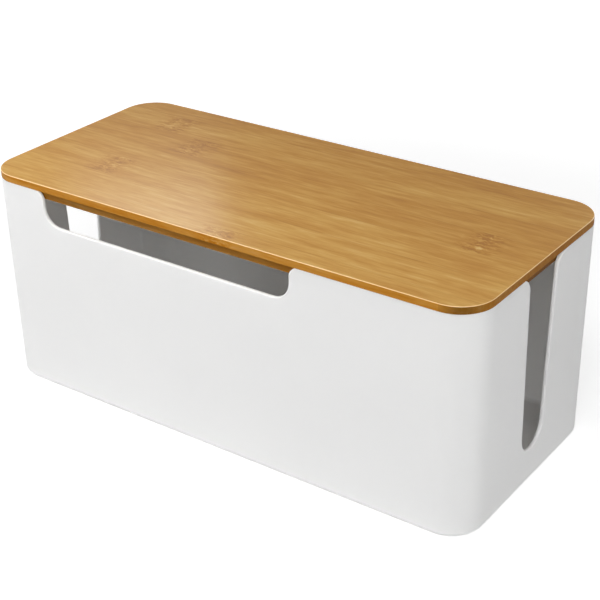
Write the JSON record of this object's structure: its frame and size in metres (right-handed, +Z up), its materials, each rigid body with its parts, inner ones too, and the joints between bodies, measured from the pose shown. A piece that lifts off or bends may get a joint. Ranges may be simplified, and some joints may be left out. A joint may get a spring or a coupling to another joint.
{
  "type": "cable box",
  "caption": "Free-standing cable management box: a drafted white plastic shell with an open-top front cut-out and tapered end slots, under a loose bamboo lid that drops into the rim.",
  "frame": {"origin": "centre of the box in plan, on the surface that the feet stand on", "axes": "+X along the box, +Y from the front wall with the cut-out to the plain back wall, +Z up through the lid"},
  "size_m": [0.34, 0.152, 0.1415],
  "materials": {
    "box_plastic": "fine satin, moulded",
    "lid_bamboo": "satin lacquer over laminated bamboo strips",
    "foot_rubber": "matt"
  },
  "bodies": {
    "box": {"box_body": "box_plastic", "foot_front_left": "foot_rubber", "foot_front_right": "foot_rubber", "foot_back_left": "foot_rubber", "foot_back_right": "foot_rubber"},
    "lid": {"lid_top_board": "lid_bamboo", "lid_locating_board": "lid_bamboo"}
  },
  "joints": [
    {"name": "lid_lift", "type": "slide", "parent": "box", "child": "lid", "axis": [0, 0, 1], "range_m": [0, 0.12]}
  ]
}
